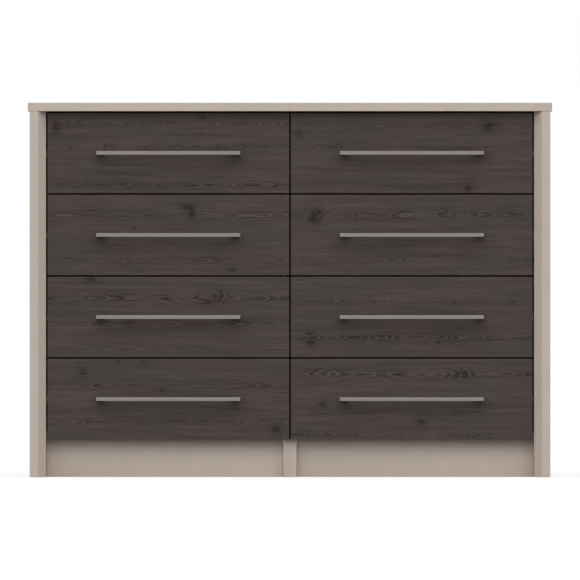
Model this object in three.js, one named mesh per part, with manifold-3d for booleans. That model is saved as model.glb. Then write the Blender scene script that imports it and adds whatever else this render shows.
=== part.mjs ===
// Wide chest of drawers: two columns of inset drawers in a panel carcass with a bevelled front frame.
// Millimetres, +Z up, front towards -Y. X is measured from the middle of the chest, Z from the floor,
// and Y inside the chest from the front edge of the top, growing towards the back.
import * as THREE from "three";
import { mergeVertices } from "three/addons/utils/BufferGeometryUtils.js";
import Module from "manifold-3d";

// Overall sizes
const TOP_WIDTH = 1120;
const CHEST_HEIGHT = 800;
const CARCASS_DEPTH = 415;
const TOP_OVERHANG = 4;
const ROWS = 4;

// Board thicknesses
const TOP_THICKNESS = 18;
const SIDE_THICKNESS = 18;
const UPRIGHT_THICKNESS = 16;
const CENTRE_THICKNESS = 26;
const BASE_THICKNESS = 16;
const PLINTH_THICKNESS = 16;
const BACK_THICKNESS = 3;
const FRONT_THICKNESS = 16;
const WRAP_THICKNESS = 12;
const BOTTOM_THICKNESS = 3;

// Where the fronts sit in the frame
const FRONT_RECESS = 20;
const REVEAL = 3.2;
const FRONTS_FROM_FLOOR = 81;
const BUFFER_GAP = 1;
const ARRIS = 1;

// Base, plinth and back
const BASE_TUCK = 2;
const PLINTH_SETBACK = 15;
const BACK_INSET = 3;

// Drawer boxes: a folded wrap for the sides and the back, and a bottom in its grooves
const BOX_SIDE_GAP = 6;
const BOX_BASE_CLEARANCE = 4;
const BOX_TOP_DROP = 25;
const BOX_REAR_CLEARANCE = 26;
const BOTTOM_RISE = 10;
const BOTTOM_GROOVE_DEPTH = 6;
const BOTTOM_END_GAP = 0.6;

// Runners: strips on the uprights that carry the drawers in side grooves
const RUNNER_HEIGHT = 14;
const RUNNER_ENGAGEMENT = 5;
const RUNNER_NOSE = 5;
const RUNNER_END_GAP = 2;
const GROOVE_DEPTH = 6;
const GROOVE_STOP = 20;
const GROOVE_REST_GAP = 0.3;
const GROOVE_SLACK = 0.9;
const GROOVE_HEIGHT_SHARE = 0.5;

// Bar handles
const HANDLE_CENTRES = 288;
const HANDLE_LEG_WIDTH = 20;
const HANDLE_BAR_HEIGHT = 8;
const HANDLE_BAR_THICKNESS = 9;
const HANDLE_PROJECTION = 32;
const HANDLE_CORNER_RADIUS = 1.5;
const HANDLE_INNER_RADIUS = 7;
const HANDLE_ARC_STEPS = 4;

// Fits: between pieces that are fastened face to face, and how far a cut runs past its board
const SEAT_GAP = 0.3;
const OVERRUN = 2;

// Places across the chest, from its middle outwards
const sideOuter = TOP_WIDTH / 2 - TOP_OVERHANG;
const sideInner = sideOuter - SIDE_THICKNESS;
const uprightOuter = sideInner - SEAT_GAP;
const uprightInner = uprightOuter - UPRIGHT_THICKNESS;
const centreFace = CENTRE_THICKNESS / 2;
const frontInner = REVEAL / 2;
const frontOuter = uprightInner - REVEAL;
const boxInner = centreFace + BOX_SIDE_GAP;
const boxOuter = uprightInner - BOX_SIDE_GAP;
const handleMiddle = (frontInner + frontOuter) / 2;

// Places up the chest
const topUnderside = CHEST_HEIGHT - TOP_THICKNESS;
const panelTop = topUnderside - SEAT_GAP;
const baseUnderside = FRONTS_FROM_FLOOR + BASE_TUCK;
const frontHeight = (topUnderside - FRONTS_FROM_FLOOR) / ROWS - REVEAL;
const rowPitch = frontHeight + REVEAL;

// Places back from the front edge of the top
const frontBack = FRONT_RECESS + FRONT_THICKNESS;
const carcassFront = frontBack + BUFFER_GAP;
const plinthFront = carcassFront + PLINTH_SETBACK;
const backFront = CARCASS_DEPTH - BACK_THICKNESS;
const panelBack = backFront - SEAT_GAP;
const boxFront = frontBack + SEAT_GAP;
const boxBack = backFront - BOX_REAR_CLEARANCE;
const handleProud = Math.max(HANDLE_PROJECTION - FRONT_RECESS, 0);

// Heights inside one drawer, from the lower edge of its front
const boxLow = BASE_TUCK + BASE_THICKNESS + BOX_BASE_CLEARANCE;
const boxHigh = frontHeight - BOX_TOP_DROP;
const bottomLow = boxLow + BOTTOM_RISE;
const runnerMiddle = boxLow + (boxHigh - boxLow) * GROOVE_HEIGHT_SHARE;
const runnerLow = runnerMiddle - RUNNER_HEIGHT / 2;
const runnerHigh = runnerMiddle + RUNNER_HEIGHT / 2;
const runnerFront = boxFront + GROOVE_STOP + RUNNER_END_GAP;
const runnerBack = boxBack;

const SIDES = [
  { name: "left", sign: -1 },
  { name: "right", sign: 1 },
];

const wasm = await Module();
wasm.setup();

const finish = {
  carcass: { color: 0xb5a99d, roughness: 0.6, metalness: 0 },
  front: { color: 0x48403c, roughness: 0.55, metalness: 0 },
  wrap: { color: 0xd8d6d0, roughness: 0.5, metalness: 0 },
  hardboard: { color: 0x8c7154, roughness: 0.8, metalness: 0 },
  runner: { color: 0xe4e2dc, roughness: 0.45, metalness: 0 },
  handle: { color: 0x8b8784, roughness: 0.35, metalness: 0.9 },
};

// A named piece with a material of its own
function piece(name, geometry, look) {
  const mesh = new THREE.Mesh(geometry, new THREE.MeshStandardMaterial(look));
  mesh.name = name;
  return mesh;
}

// A board from its lowest to its highest corner
function board(low, high) {
  const [width, depth, height] = high.map((value, axis) => value - low[axis]);
  const geometry = new THREE.BoxGeometry(width, depth, height);
  geometry.translate((low[0] + high[0]) / 2, (low[1] + high[1]) / 2, (low[2] + high[2]) / 2);
  return geometry;
}

// The same, with its X range given from the middle outwards on one side of the chest
function sideBoard(side, [inner, outer], [front, back], [bottom, top]) {
  const [low, high] = [side.sign * inner, side.sign * outer].sort((a, b) => a - b);
  return board([low, front, bottom], [high, back, top]);
}

// A board whose edges are eased by a small flat arris all round both faces. The faces look along Y.
function easedFront([left, right], [front, back], [bottom, top]) {
  const outline = new THREE.Shape([
    new THREE.Vector2(left + ARRIS, bottom + ARRIS),
    new THREE.Vector2(right - ARRIS, bottom + ARRIS),
    new THREE.Vector2(right - ARRIS, top - ARRIS),
    new THREE.Vector2(left + ARRIS, top - ARRIS),
  ]);
  const geometry = new THREE.ExtrudeGeometry(outline, {
    depth: back - front - 2 * ARRIS,
    bevelThickness: ARRIS,
    bevelSize: ARRIS,
    bevelSegments: 1,
  });
  geometry.rotateX(Math.PI / 2);
  geometry.translate(0, back - ARRIS, 0);
  return geometry;
}

// The top, eased in the same way, with its faces looking along Z
function easedTop([left, right], [front, back], [bottom, top]) {
  const outline = new THREE.Shape([
    new THREE.Vector2(left + ARRIS, front + ARRIS),
    new THREE.Vector2(right - ARRIS, front + ARRIS),
    new THREE.Vector2(right - ARRIS, back - ARRIS),
    new THREE.Vector2(left + ARRIS, back - ARRIS),
  ]);
  const geometry = new THREE.ExtrudeGeometry(outline, {
    depth: top - bottom - 2 * ARRIS,
    bevelThickness: ARRIS,
    bevelSize: ARRIS,
    bevelSegments: 1,
  });
  geometry.translate(0, 0, bottom + ARRIS);
  return geometry;
}

// A prism: an outline in X and Y raised along Z
function prism(points, bottom, top) {
  const outline = new THREE.Shape(points.map(([x, y]) => new THREE.Vector2(x, y)));
  const geometry = new THREE.ExtrudeGeometry(outline, { depth: top - bottom, bevelEnabled: false });
  geometry.translate(0, 0, bottom);
  return geometry;
}

// Geometry to a solid for cutting, with its corners merged
function solidOf(geometry) {
  const bare = geometry.clone();
  bare.deleteAttribute("normal");
  bare.deleteAttribute("uv");
  const merged = mergeVertices(bare);
  return new wasm.Manifold(new wasm.Mesh({
    numProp: 3,
    vertProperties: new Float32Array(merged.attributes.position.array),
    triVerts: new Uint32Array(merged.index.array),
  }));
}

// The solid's faces as a geometry again
function geometryOf(solid) {
  const { vertProperties, triVerts } = solid.getMesh();
  const geometry = new THREE.BufferGeometry();
  geometry.setAttribute("position", new THREE.BufferAttribute(vertProperties, 3));
  geometry.setIndex(new THREE.BufferAttribute(triVerts, 1));
  geometry.computeVertexNormals();
  return geometry;
}

// One geometry less each of the others
function cut(geometry, cutters) {
  let solid = solidOf(geometry);
  for (const cutter of cutters) {
    solid = solid.subtract(solidOf(cutter));
  }
  return geometryOf(solid);
}

function sidePanel(side) {
  return sideBoard(side, [sideInner, sideOuter], [0, panelBack], [0, panelTop]);
}

// The inner upright carries the runners, and its front edge is the wide bevel of the frame
function innerUpright(side) {
  const plan = [
    [side.sign * uprightOuter, 0],
    [side.sign * uprightInner, FRONT_RECESS],
    [side.sign * uprightInner, panelBack],
    [side.sign * uprightOuter, panelBack],
  ];
  return prism(plan, 0, panelTop);
}

function basePanel(side) {
  const across = [centreFace + SEAT_GAP, uprightInner - SEAT_GAP];
  return sideBoard(side, across, [carcassFront, panelBack], [baseUnderside, baseUnderside + BASE_THICKNESS]);
}

function plinthBoard(side) {
  const across = [centreFace + SEAT_GAP, uprightInner - SEAT_GAP];
  const through = [plinthFront, plinthFront + PLINTH_THICKNESS];
  return sideBoard(side, across, through, [0, baseUnderside - SEAT_GAP]);
}

// The backs meet on the rear edge of the centre upright
function backPanel(side) {
  const across = [SEAT_GAP / 2, sideOuter - BACK_INSET];
  return sideBoard(side, across, [backFront, CARCASS_DEPTH], [baseUnderside, panelTop]);
}

function buildCarcass() {
  const carcass = new THREE.Group();
  const top = easedTop([-TOP_WIDTH / 2, TOP_WIDTH / 2], [0, CARCASS_DEPTH], [topUnderside, CHEST_HEIGHT]);
  carcass.add(piece("top_panel", top, finish.carcass));
  const centre = board([-centreFace, carcassFront, 0], [centreFace, panelBack, panelTop]);
  carcass.add(piece("centre_upright", centre, finish.carcass));
  for (const side of SIDES) {
    carcass.add(piece(`side_panel_${side.name}`, sidePanel(side), finish.carcass));
    carcass.add(piece(`inner_upright_${side.name}`, innerUpright(side), finish.carcass));
    carcass.add(piece(`base_panel_${side.name}`, basePanel(side), finish.carcass));
    carcass.add(piece(`plinth_${side.name}`, plinthBoard(side), finish.carcass));
    carcass.add(piece(`back_panel_${side.name}`, backPanel(side), finish.hardboard));
  }
  return carcass;
}

// A runner: a strip from the bay's wall into the groove, with a tapered nose that leads the drawer on
function runner(side, wall, inwards) {
  const face = wall + inwards * SEAT_GAP;
  const tip = wall + inwards * (BOX_SIDE_GAP + RUNNER_ENGAGEMENT);
  const nose = tip - inwards * RUNNER_NOSE;
  const plan = [
    [side.sign * face, runnerFront],
    [side.sign * nose, runnerFront],
    [side.sign * tip, runnerFront + RUNNER_NOSE],
    [side.sign * tip, runnerBack],
    [side.sign * face, runnerBack],
  ];
  return prism(plan, runnerLow, runnerHigh);
}

// Sides and back of the box in one folded board, grooved outside for the runners and inside for the bottom
function boxWrap(side) {
  const shell = sideBoard(side, [boxInner, boxOuter], [boxFront, boxBack], [boxLow, boxHigh]);
  const hollowAcross = [boxInner + WRAP_THICKNESS, boxOuter - WRAP_THICKNESS];
  const hollowThrough = [boxFront - OVERRUN, boxBack - WRAP_THICKNESS];
  const hollow = sideBoard(side, hollowAcross, hollowThrough, [boxLow - OVERRUN, boxHigh + OVERRUN]);
  const bottomAcross = [hollowAcross[0] - BOTTOM_GROOVE_DEPTH, hollowAcross[1] + BOTTOM_GROOVE_DEPTH];
  const bottomThrough = [boxFront - OVERRUN, hollowThrough[1] + BOTTOM_GROOVE_DEPTH];
  const bottomHeights = [bottomLow - SEAT_GAP, bottomLow + BOTTOM_THICKNESS + SEAT_GAP];
  const bottomGroove = sideBoard(side, bottomAcross, bottomThrough, bottomHeights);
  const grooveThrough = [boxFront + GROOVE_STOP, boxBack + OVERRUN];
  const grooveHeights = [runnerLow - GROOVE_SLACK, runnerHigh + GROOVE_REST_GAP];
  const innerAcross = [boxInner - OVERRUN, boxInner + GROOVE_DEPTH];
  const innerGroove = sideBoard(side, innerAcross, grooveThrough, grooveHeights);
  const outerAcross = [boxOuter - GROOVE_DEPTH, boxOuter + OVERRUN];
  const outerGroove = sideBoard(side, outerAcross, grooveThrough, grooveHeights);
  return cut(shell, [hollow, bottomGroove, innerGroove, outerGroove]);
}

// The bottom slides into the wrap's grooves from the front and butts against the back of the front
function boxBottom(side) {
  const reach = WRAP_THICKNESS - BOTTOM_GROOVE_DEPTH + BOTTOM_END_GAP;
  const across = [boxInner + reach, boxOuter - reach];
  return sideBoard(side, across, [boxFront, boxBack - reach], [bottomLow, bottomLow + BOTTOM_THICKNESS]);
}

function drawerFront(side) {
  const across = [side.sign * frontInner, side.sign * frontOuter].sort((a, b) => a - b);
  return easedFront(across, [FRONT_RECESS, frontBack], [0, frontHeight]);
}

// A flat bar whose ends turn back to the front as two legs
function handle(side) {
  const middle = side.sign * handleMiddle;
  const half = (HANDLE_CENTRES + HANDLE_LEG_WIDTH) / 2;
  const inside = half - HANDLE_LEG_WIDTH;
  const root = FRONT_RECESS - SEAT_GAP;
  const face = FRONT_RECESS - HANDLE_PROJECTION;
  const rear = face + HANDLE_BAR_THICKNESS;
  const corner = HANDLE_CORNER_RADIUS;
  const inner = HANDLE_INNER_RADIUS;
  const quarter = Math.PI / 2;
  const outline = new THREE.Shape();
  outline.moveTo(-half, root);
  outline.absarc(corner - half, face + corner, corner, -2 * quarter, -quarter, false);
  outline.absarc(half - corner, face + corner, corner, -quarter, 0, false);
  outline.lineTo(half, root);
  outline.lineTo(inside, root);
  outline.absarc(inside - inner, rear + inner, inner, 0, -quarter, true);
  outline.absarc(inner - inside, rear + inner, inner, -quarter, -2 * quarter, true);
  outline.lineTo(-inside, root);
  const geometry = new THREE.ExtrudeGeometry(outline, {
    depth: HANDLE_BAR_HEIGHT,
    bevelEnabled: false,
    curveSegments: HANDLE_ARC_STEPS,
  });
  geometry.translate(middle, 0, (frontHeight - HANDLE_BAR_HEIGHT) / 2);
  return geometry;
}

// One row of one column: the drawer and the two runners that carry it
function buildBay(side, row) {
  const bay = new THREE.Group();
  const name = `${side.name}_${row}`;
  bay.add(piece(`runner_${name}_inner`, runner(side, centreFace, 1), finish.runner));
  bay.add(piece(`runner_${name}_outer`, runner(side, uprightInner, -1), finish.runner));
  bay.add(piece(`drawer_${name}_front`, drawerFront(side), finish.front));
  bay.add(piece(`drawer_${name}_box`, boxWrap(side), finish.wrap));
  bay.add(piece(`drawer_${name}_bottom`, boxBottom(side), finish.hardboard));
  bay.add(piece(`drawer_${name}_handle`, handle(side), finish.handle));
  bay.position.z = FRONTS_FROM_FLOOR + (ROWS - row) * rowPitch;
  return bay;
}

function buildDresser() {
  const dresser = new THREE.Group();
  dresser.add(buildCarcass());
  for (const side of SIDES) {
    for (let row = 1; row <= ROWS; row += 1) {
      dresser.add(buildBay(side, row));
    }
  }
  dresser.position.y = (handleProud - CARCASS_DEPTH) / 2;
  return dresser;
}

export default buildDresser();
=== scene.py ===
"""A wide chest of drawers, dressed: dark pine-foil fronts inset in a stone-beige frame.

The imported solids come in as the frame. Boards are rebuilt from them with eased edges, the parts that show
get their real profiles, and the fasteners, which the solids leave out, are added. Everything is in metres
in the row frame, with +Z up and the front towards -Y. Lengths are written in millimetres times MM.
"""

import logging
import math
from dataclasses import dataclass, field
from enum import Enum
from typing import Mapping, Sequence, Union

import bmesh
import bpy
from mathutils import Matrix, Vector


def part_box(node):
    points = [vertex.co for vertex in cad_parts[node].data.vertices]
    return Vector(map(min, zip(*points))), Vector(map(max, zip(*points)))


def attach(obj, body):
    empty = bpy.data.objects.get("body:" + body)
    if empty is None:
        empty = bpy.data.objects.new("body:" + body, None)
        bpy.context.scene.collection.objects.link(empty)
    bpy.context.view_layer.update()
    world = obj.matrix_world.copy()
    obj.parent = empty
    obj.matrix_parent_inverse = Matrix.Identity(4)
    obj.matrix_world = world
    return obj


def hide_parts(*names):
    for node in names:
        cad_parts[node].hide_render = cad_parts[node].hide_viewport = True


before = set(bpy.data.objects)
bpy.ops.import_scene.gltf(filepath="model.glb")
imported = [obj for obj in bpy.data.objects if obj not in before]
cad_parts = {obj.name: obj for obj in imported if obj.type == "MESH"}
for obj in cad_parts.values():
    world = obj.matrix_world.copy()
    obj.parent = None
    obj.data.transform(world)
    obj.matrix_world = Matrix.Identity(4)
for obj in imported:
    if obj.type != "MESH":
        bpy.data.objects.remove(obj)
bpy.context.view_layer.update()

MM = 0.001
log = logging.getLogger("dresser")

Colour = tuple[float, float, float]
Point = tuple[float, float]
Term = Union["Signal", float]
Feed = Union["Signal", bpy.types.NodeSocket, float, int, Sequence[float]]


def srgb(red: float, green: float, blue: float) -> Colour:
    """Turn a colour read off a screen into the linear one that shaders take.

    Args:
        red: Red from 0 to 255.
        green: Green from 0 to 255.
        blue: Blue from 0 to 255.

    Returns:
        The linear colour.
    """
    linear = []
    for level in (red, green, blue):
        share = level / 255
        linear.append(share / 12.92 if share <= 0.04045 else ((share + 0.055) / 1.055) ** 2.4)
    return tuple(linear)


class Signal:
    """A number that changes over a surface. Arithmetic on it adds Math nodes to its shader."""

    def __init__(self, shader: "Shader", socket: bpy.types.NodeSocket) -> None:
        """Wrap an output socket.

        Args:
            shader: The shader whose tree the socket is in.
            socket: The output that carries the number.
        """
        self.shader = shader
        self.socket = socket

    def __add__(self, other: Term) -> "Signal":
        """Add a term."""
        return self.shader.math("ADD", self, other)

    def __sub__(self, other: Term) -> "Signal":
        """Take a term away."""
        return self.shader.math("SUBTRACT", self, other)

    def __rsub__(self, other: Term) -> "Signal":
        """Take this signal away from a number."""
        return self.shader.math("SUBTRACT", other, self)

    def __mul__(self, other: Term) -> "Signal":
        """Multiply by a term."""
        return self.shader.math("MULTIPLY", self, other)

    def __truediv__(self, other: Term) -> "Signal":
        """Divide by a term."""
        return self.shader.math("DIVIDE", self, other)

    def __pow__(self, other: Term) -> "Signal":
        """Raise to a power."""
        return self.shader.math("POWER", self, other)

    def __neg__(self) -> "Signal":
        """Turn the sign round."""
        return self.shader.math("MULTIPLY", self, -1.0)

    def __abs__(self) -> "Signal":
        """Drop the sign."""
        return self.shader.math("ABSOLUTE", self)

    __radd__ = __add__
    __rmul__ = __mul__

    def exp(self) -> "Signal":
        """Raise e to this signal."""
        return self.shader.math("EXPONENT", self)

    def least(self, other: Term) -> "Signal":
        """Take the smaller of this and another."""
        return self.shader.math("MINIMUM", self, other)

    def within(self, low: float, high: float) -> "Signal":
        """Hold between two numbers."""
        return self.shader.math("MINIMUM", self.shader.math("MAXIMUM", self, low), high)

    def repeat(self, period: float) -> "Signal":
        """Run from 0 to 1 over and over, once in each period."""
        return self.shader.math("FRACT", self / period)

    def zigzag(self, half: float) -> "Signal":
        """Go up to half and back down to 0, over and over."""
        return self.shader.math("PINGPONG", self, half)


class Shader:
    """The node tree of a material or of the sky, built from a few typed calls."""

    def __init__(self, owner: bpy.types.Material | bpy.types.World) -> None:
        """Empty the owner's tree.

        Args:
            owner: The material or world that the tree belongs to.
        """
        owner.use_nodes = True
        self.owner = owner
        self.tree = owner.node_tree
        self.tree.nodes.clear()
        self.coordinates = self.node("ShaderNodeTexCoord").outputs
        self.place = self.coordinates["Object"]

    @classmethod
    def material(cls, name: str) -> "Shader":
        """Start a new material."""
        return cls(bpy.data.materials.new(name))

    def node(
        self,
        kind: str,
        settings: Mapping[str, object] | None = None,
        values: Mapping[int | str, Feed] | None = None,
    ) -> bpy.types.Node:
        """Add a node.

        Args:
            kind: The node's type.
            settings: Its own settings, set first. "stops" are a ramp's places and colours.
            values: What its input sockets hold or are linked to, by name or number.

        Returns:
            The node.
        """
        node = self.tree.nodes.new(kind)
        for key, setting in (settings or {}).items():
            if key == "stops":
                self.set_stops(node.color_ramp, setting)
            else:
                setattr(node, key, setting)
        for key, value in (values or {}).items():
            self.feed(node.inputs[key], value)
        return node

    def set_stops(self, ramp: bpy.types.ColorRamp, stops: Sequence[tuple[float, float]]) -> None:
        """Give a ramp its stops.

        Args:
            ramp: The ramp.
            stops: Pairs of a place on the ramp and a grey level, from left to right.
        """
        for place, _ in stops[2:]:
            ramp.elements.new(place)
        for element, (place, grey) in zip(ramp.elements, stops):
            element.position = place
            element.color = (grey, grey, grey, 1)

    def feed(self, socket: bpy.types.NodeSocket, value: Feed) -> None:
        """Set or link an input socket.

        Args:
            socket: The input.
            value: A signal or an output to link, or a constant.
        """
        if isinstance(value, Signal):
            self.tree.links.new(value.socket, socket)
        elif isinstance(value, bpy.types.NodeSocket):
            self.tree.links.new(value, socket)
        elif socket.type == "RGBA":
            socket.default_value = (*value, 1)
        else:
            socket.default_value = value

    def math(self, operation: str, *terms: Term) -> Signal:
        """Add a Math node and give its result."""
        node = self.node("ShaderNodeMath", {"operation": operation}, dict(enumerate(terms)))
        return Signal(self, node.outputs[0])

    def vector(self, operation: str, *terms: Feed) -> bpy.types.NodeSocket:
        """Add a Vector Math node and give its vector."""
        node = self.node("ShaderNodeVectorMath", {"operation": operation}, dict(enumerate(terms)))
        return node.outputs["Vector"]

    def parts(self, vector: Feed) -> tuple[Signal, Signal, Signal]:
        """Split a vector into its three numbers."""
        split = self.node("ShaderNodeSeparateXYZ", values={0: vector})
        return tuple(Signal(self, output) for output in split.outputs)

    def noise(
        self, place: Feed, size: Sequence[float], seed: float, detail: float = 2.0
    ) -> Signal:
        """Add smooth noise.

        Args:
            place: The coordinates that it reads.
            size: The length of its features along X, Y and Z, in the units of the coordinates.
            seed: How far it is slid away from the origin, in features.
            detail: How many finer layers it has.

        Returns:
            Noise about 0, mostly between -0.25 and 0.25.
        """
        scale = tuple(1 / length for length in size)
        moved = self.node(
            "ShaderNodeMapping",
            values={"Vector": place, "Location": (seed, seed * 1.7, seed * 2.3), "Scale": scale},
        )
        texture = self.node(
            "ShaderNodeTexNoise",
            values={"Vector": moved.outputs[0], "Scale": 1.0, "Detail": detail},
        )
        return Signal(self, texture.outputs[0]) - 0.5

    def curve(self, factor: Term, stops: Sequence[tuple[float, float]]) -> Signal:
        """Pass a number through a ramp.

        Args:
            factor: The number, from 0 to 1.
            stops: Pairs of a place and a level.

        Returns:
            The level.
        """
        ramp = self.node("ShaderNodeValToRGB", {"stops": stops}, {0: factor})
        return Signal(self, ramp.outputs["Color"])

    def mix(self, factor: Term, first: Feed, second: Feed) -> bpy.types.NodeSocket:
        """Blend two colours."""
        node = self.node("ShaderNodeMix", {"data_type": "RGBA"}, {0: factor, 6: first, 7: second})
        return node.outputs[2]

    def finish(
        self,
        colour: Feed,
        roughness: Term,
        height: Signal,
        relief: float,
        settings: Mapping[str, Feed] | None = None,
    ) -> bpy.types.Material:
        """Close the tree with a Principled shader.

        Args:
            colour: The base colour.
            roughness: The roughness.
            height: The surface's height, for the bump.
            relief: How high a height of 1 stands, in metres.
            settings: Further sockets of the Principled shader.

        Returns:
            The material.
        """
        bump = self.node("ShaderNodeBump", values={"Height": height, "Distance": relief})
        values = {"Base Color": colour, "Roughness": roughness, "Normal": bump.outputs[0]}
        surface = self.node("ShaderNodeBsdfPrincipled", values={**values, **(settings or {})})
        self.node("ShaderNodeOutputMaterial", values={"Surface": surface.outputs[0]})
        return self.owner


@dataclass(frozen=True)
class StoneFoil:
    """Matt stone-beige foil, pressed on flat board: nearly plain, with a soft print and a fine pore."""

    name: str = "stone_foil"
    pale: Colour = srgb(184, 171, 161)
    deep: Colour = srgb(175, 162, 151)
    print_size: float = 34 * MM
    pore_size: float = 0.7 * MM
    relief: float = 0.02 * MM

    def material(self) -> bpy.types.Material:
        """Build the material."""
        shader = Shader.material(self.name)
        cloud = shader.noise(shader.place, (self.print_size,) * 3, 3.1)
        pore = shader.noise(shader.place, (self.pore_size,) * 3, 7.9, 1.0)
        colour = shader.mix(0.5 + cloud * 0.8 + pore * 0.6, self.deep, self.pale)
        rough = 0.56 + cloud * 0.14 - pore * 0.12
        return shader.finish(colour, rough, pore, self.relief, {"Specular IOR Level": 0.3})


@dataclass(frozen=True)
class Knot:
    """A knot in the printed grain, placed by shares of the front from its upper left corner."""

    across_share: float
    down_share: float
    radius: float = 4.5 * MM
    dark: float = 0.8
    height_share: float = 1.0


@dataclass(frozen=True)
class Band:
    """A run of arched grain lines, a pitch apart, thrown about by noise.

    They open away from the starts, or where there are none, all to one side.
    """

    down_share: float
    start_shares: tuple[float, ...] = ()
    pitch: float = 40 * MM
    reach: float = 12 * MM
    strength: float = 1.0
    flutter: float = 4.0
    tip: float = 7 * MM


@dataclass(frozen=True)
class PineFoil:
    """Dark grey-brown foil with a printed pine grain that runs across the front of one drawer."""

    name: str
    seed: float
    knots: tuple[Knot, ...]
    bands: tuple[Band, ...]
    brown_dark: Colour = srgb(34, 23, 24)
    brown_pale: Colour = srgb(88, 74, 70)
    green_dark: Colour = srgb(28, 27, 22)
    green_pale: Colour = srgb(74, 71, 62)
    ring_width: float = 5.6 * MM
    line_width: float = 4.3 * MM
    wave_rise: float = 9 * MM
    ripple_rise: float = 2.6 * MM
    strand_rise: float = 6 * MM
    knot_spread: float = 3.2
    knot_pull: float = 0.62
    relief: float = 0.05 * MM

    def material(self, low: Vector, high: Vector) -> bpy.types.Material:
        """Build the material for one front.

        Args:
            low: The front's lowest corner.
            high: Its highest corner.

        Returns:
            The material, with its knots and bands where they lie on that front.
        """
        shader = Shader.material(self.name)
        size = high - low
        across, _, down = shader.parts(shader.place)
        wave = shader.noise(shader.place, (130 * MM, 60 * MM, 26 * MM), self.seed, 1.0)
        ripple = shader.noise(shader.place, (17 * MM, 20 * MM, 8 * MM), self.seed + 5, 1.0)
        level = down + wave * self.wave_rise + ripple * self.ripple_rise
        ragged = shader.noise(shader.place, (9 * MM, 20 * MM, 5 * MM), self.seed + 3, 2.0)
        shade = wave * 0
        for knot in self.knots:
            middle = Vector((low.x + knot.across_share * size.x, 0, high.z - knot.down_share * size.z))
            tall = knot.radius * knot.height_share
            wide = self.knot_spread * knot.radius
            spread = (1 / wide, 0, 1 / (self.knot_spread * tall))
            offset = shader.vector("MULTIPLY", shader.vector("SUBTRACT", shader.place, middle), spread)
            length = shader.node("ShaderNodeVectorMath", {"operation": "LENGTH"}, {0: offset})
            distance = Signal(shader, length.outputs["Value"]) * (1 + ragged * 1.5)
            near = (-(distance * distance)).exp()
            core = (-(distance * distance * 6)).exp()
            rings = self.rings(shader, distance * wide, self.ring_width * 0.6)
            level = level - (level - middle.z) * near * self.knot_pull
            shade = shade - core * (0.5 * knot.dark) + near * (rings * 0.3 - 0.14) * knot.dark
        strand = shader.noise(shader.place, (210 * MM, 40 * MM, 9 * MM), self.seed + 11, 2.0)
        for number, band in enumerate(self.bands):
            shade = shade + self.arches(shader, band, number, across, level, low, size)
        straight = self.rings(shader, level + strand * self.strand_rise, self.line_width)
        veil = shader.noise(shader.place, (120 * MM, 40 * MM, 17 * MM), self.seed + 17, 1.0)
        fibre = shader.noise(shader.place, (38 * MM, 3 * MM, 0.9 * MM), self.seed + 23, 2.0)
        fleck = shader.noise(shader.place, (95 * MM, 6 * MM, 2.4 * MM), self.seed + 29, 2.0)
        shade = shade + straight * (0.14 + veil * 0.8).within(0, 0.45) + fibre * 0.5 + fleck * 0.46
        shade = shade + strand * 0.45
        tone = (shade + 0.5).within(0, 1)
        cast = shader.noise(shader.place, (150 * MM, 60 * MM, 42 * MM), self.seed + 31, 1.0)
        hue = (0.3 + cast * 1.8 - strand * 0.7).within(0, 1)
        brown = shader.mix(tone, self.brown_dark, self.brown_pale)
        green = shader.mix(tone, self.green_dark, self.green_pale)
        colour = shader.mix(hue, brown, green)
        rough = 0.5 - shade * 0.12 + fibre * 0.15
        return shader.finish(colour, rough, shade + fibre, self.relief, {"Specular IOR Level": 0.22})

    def rings(self, shader: Shader, run: Signal, width: float) -> Signal:
        """Turn a distance across the rings into their shade: a thin pale line, then a broad dark one.

        Args:
            shader: The shader that it is for.
            run: The distance.
            width: One ring's width.

        Returns:
            A shade about 0.
        """
        stops = ((0, 0.42), (0.16, 0.95), (0.36, 0.55), (0.78, 0.2), (1, 0.42))
        return shader.curve(run.repeat(width), stops) - 0.48

    def arches(
        self,
        shader: Shader,
        band: Band,
        number: int,
        across: Signal,
        level: Signal,
        low: Vector,
        size: Vector,
    ) -> Signal:
        """Shade one band of arches, as a board shows where the saw ran close to the heart of the log.

        Args:
            shader: The shader that it is for.
            band: The band.
            number: The band's place in the list, which slides its noise.
            across: The place along the grain.
            level: The place across the grain, with its waves.
            low: The front's lowest corner.
            size: The front's width, thickness and height.

        Returns:
            The band's shade, which fades out above and below it.
        """
        seed = self.seed + 41 + 7 * number
        sway = shader.noise(shader.place, (46 * MM, 60 * MM, 90 * MM), seed, 1.0)
        along = across + sway * (26 * MM)
        if band.start_shares:
            starts = [low.x + share * size.x for share in band.start_shares]
            depth = abs(along - starts[0])
            for start in starts[1:]:
                depth = depth.least(abs(along - start))
        else:
            depth = along - low.x
        flutter = shader.noise(shader.place, (2.2 * band.pitch, 60 * MM, 70 * MM), seed + 3, 1.0)
        depth = depth * (self.ring_width / band.pitch) + flutter * (band.flutter * self.ring_width)
        middle = low.z + size.z * (1 - band.down_share)
        off = level - middle
        blunt = (off**2 + (band.tip / 2) ** 2) ** 0.5
        rings = self.rings(shader, blunt + depth, self.ring_width)
        fade = (-((off / band.reach) ** 2)).exp() * (0.8 + sway * 3.2).within(0.15, 1.3)
        return fade * (rings * 0.8 - 0.14) * band.strength


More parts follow.
